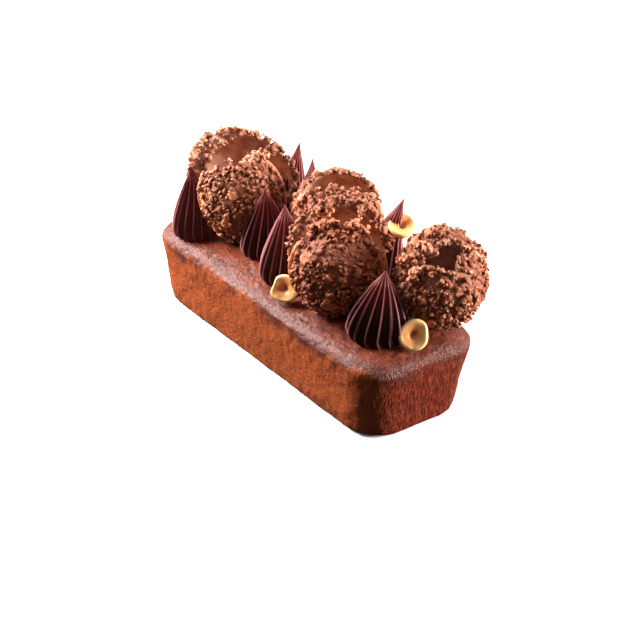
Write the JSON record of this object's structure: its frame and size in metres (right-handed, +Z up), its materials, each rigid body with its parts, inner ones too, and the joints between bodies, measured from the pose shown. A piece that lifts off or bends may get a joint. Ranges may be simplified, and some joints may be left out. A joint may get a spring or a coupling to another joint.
{
  "type": "praline loaf cake",
  "caption": "Baked loaf with rounded corners, topped with hollow crumble balls opened in halves, fluted ganache peaks and hazelnut halves.",
  "frame": {"origin": "middle of the loaf's flat underside", "axes": "+X along the loaf, towards the end with the balls' open hole; -Y towards its front long side; +Z up"},
  "size_m": [0.2077, 0.0851, 0.1046],
  "materials": {
    "crust": "baked crust, satin brown with fine pores",
    "crumble": "rough crumbly caramel brown",
    "ganache": "soft-gloss dark chocolate",
    "nut": "roasted hazelnut, satin"
  },
  "bodies": {
    "root": {"loaf": "crust", "crumble_shell_1_front": "crumble", "crumble_shell_1_back": "crumble", "crumble_shell_2_front": "crumble", "crumble_shell_2_back": "crumble", "crumble_shell_3_front": "crumble", "crumble_shell_3_back": "crumble", "crumble_shell_4_front": "crumble", "crumble_shell_4_back": "crumble", "ganache_peak_1": "ganache", "ganache_peak_2": "ganache", "ganache_peak_3": "ganache", "ganache_peak_4": "ganache", "ganache_peak_5": "ganache", "ganache_peak_6": "ganache", "ganache_peak_7": "ganache", "hazelnut_half_1": "nut", "hazelnut_half_2": "nut", "hazelnut_half_3": "nut"}
  },
  "joints": []
}
